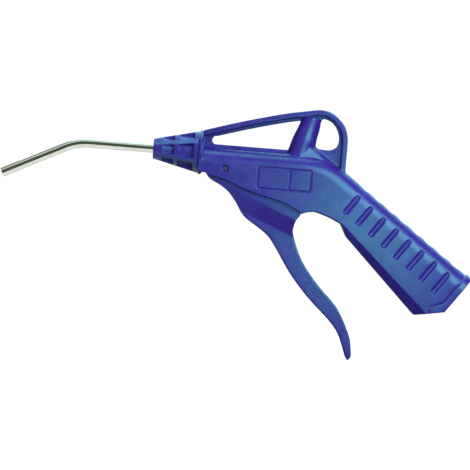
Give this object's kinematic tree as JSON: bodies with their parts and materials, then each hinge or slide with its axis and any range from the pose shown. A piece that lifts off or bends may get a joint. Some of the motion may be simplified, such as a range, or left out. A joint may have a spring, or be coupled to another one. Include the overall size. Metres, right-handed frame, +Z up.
{
  "type": "pneumatic air duster",
  "caption": "Pistol-shaped air blow gun with a bent metal nozzle tube, ribbed clamp nut, squeeze lever, spring valve and threaded inlet.",
  "frame": {"origin": "centre of the air inlet's mouth, in the end face of the grip", "axes": "+Z up with the barrel level, the nozzle points to -X, +X runs from the nozzle towards the grip, Y = 0 is the mirror plane"},
  "size_m": [0.2768, 0.026, 0.1428],
  "materials": {
    "blue_plastic": "satin moulded",
    "tube_metal": "bright nickel plate",
    "steel": "turned",
    "brass": "turned",
    "rubber": "matt",
    "black_plastic": "moulded"
  },
  "bodies": {
    "body": {"body_shell": "blue_plastic", "trigger_pin": "steel", "tube_o_ring": "rubber", "valve_sleeve": "brass", "seat_gasket": "rubber", "sleeve_o_ring": "rubber", "stem_o_ring": "rubber", "stem_guide": "brass", "retaining_ring": "brass", "valve_spring": "steel", "spring_seat": "steel", "inlet_insert": "brass", "inlet_o_ring": "rubber"},
    "trigger": {"trigger_lever": "blue_plastic"},
    "stem": {"valve_stem": "steel", "stem_button": "black_plastic", "valve_poppet": "brass", "poppet_seal": "rubber", "poppet_retainer": "steel"},
    "nozzle": {"nozzle_tube": "tube_metal", "nozzle_tip": "tube_metal", "tube_collar": "steel"},
    "nut": {"nozzle_nut": "blue_plastic", "thrust_washer": "steel"}
  },
  "joints": [
    {"name": "trigger", "type": "hinge", "parent": "body", "child": "trigger", "pos_m": [-0.13934, 0, 0.06306], "axis": [0, -1, 0], "range_deg": [0, 8], "stiffness_Nm_per_rad": 1.5, "springref_deg": -8.59},
    {"name": "stem_slide", "type": "slide", "parent": "body", "child": "stem", "axis": [0.2538, 0, 0.9673], "range_m": [0, 0.0054], "deforming": ["valve_spring"]},
    {"name": "nozzle_swivel", "type": "hinge", "parent": "body", "child": "nozzle", "pos_m": [-0.15534, 0, 0.07146], "axis": [-1, 0, 0], "continuous": true},
    {"name": "nut_turn", "type": "hinge", "parent": "body", "child": "nut", "pos_m": [-0.15534, 0, 0.07146], "axis": [-1, 0, 0], "continuous": true}
  ],
  "couplings": [
    {"joint": "stem_slide", "follows": "trigger", "m_per_rad": 0.038}
  ]
}
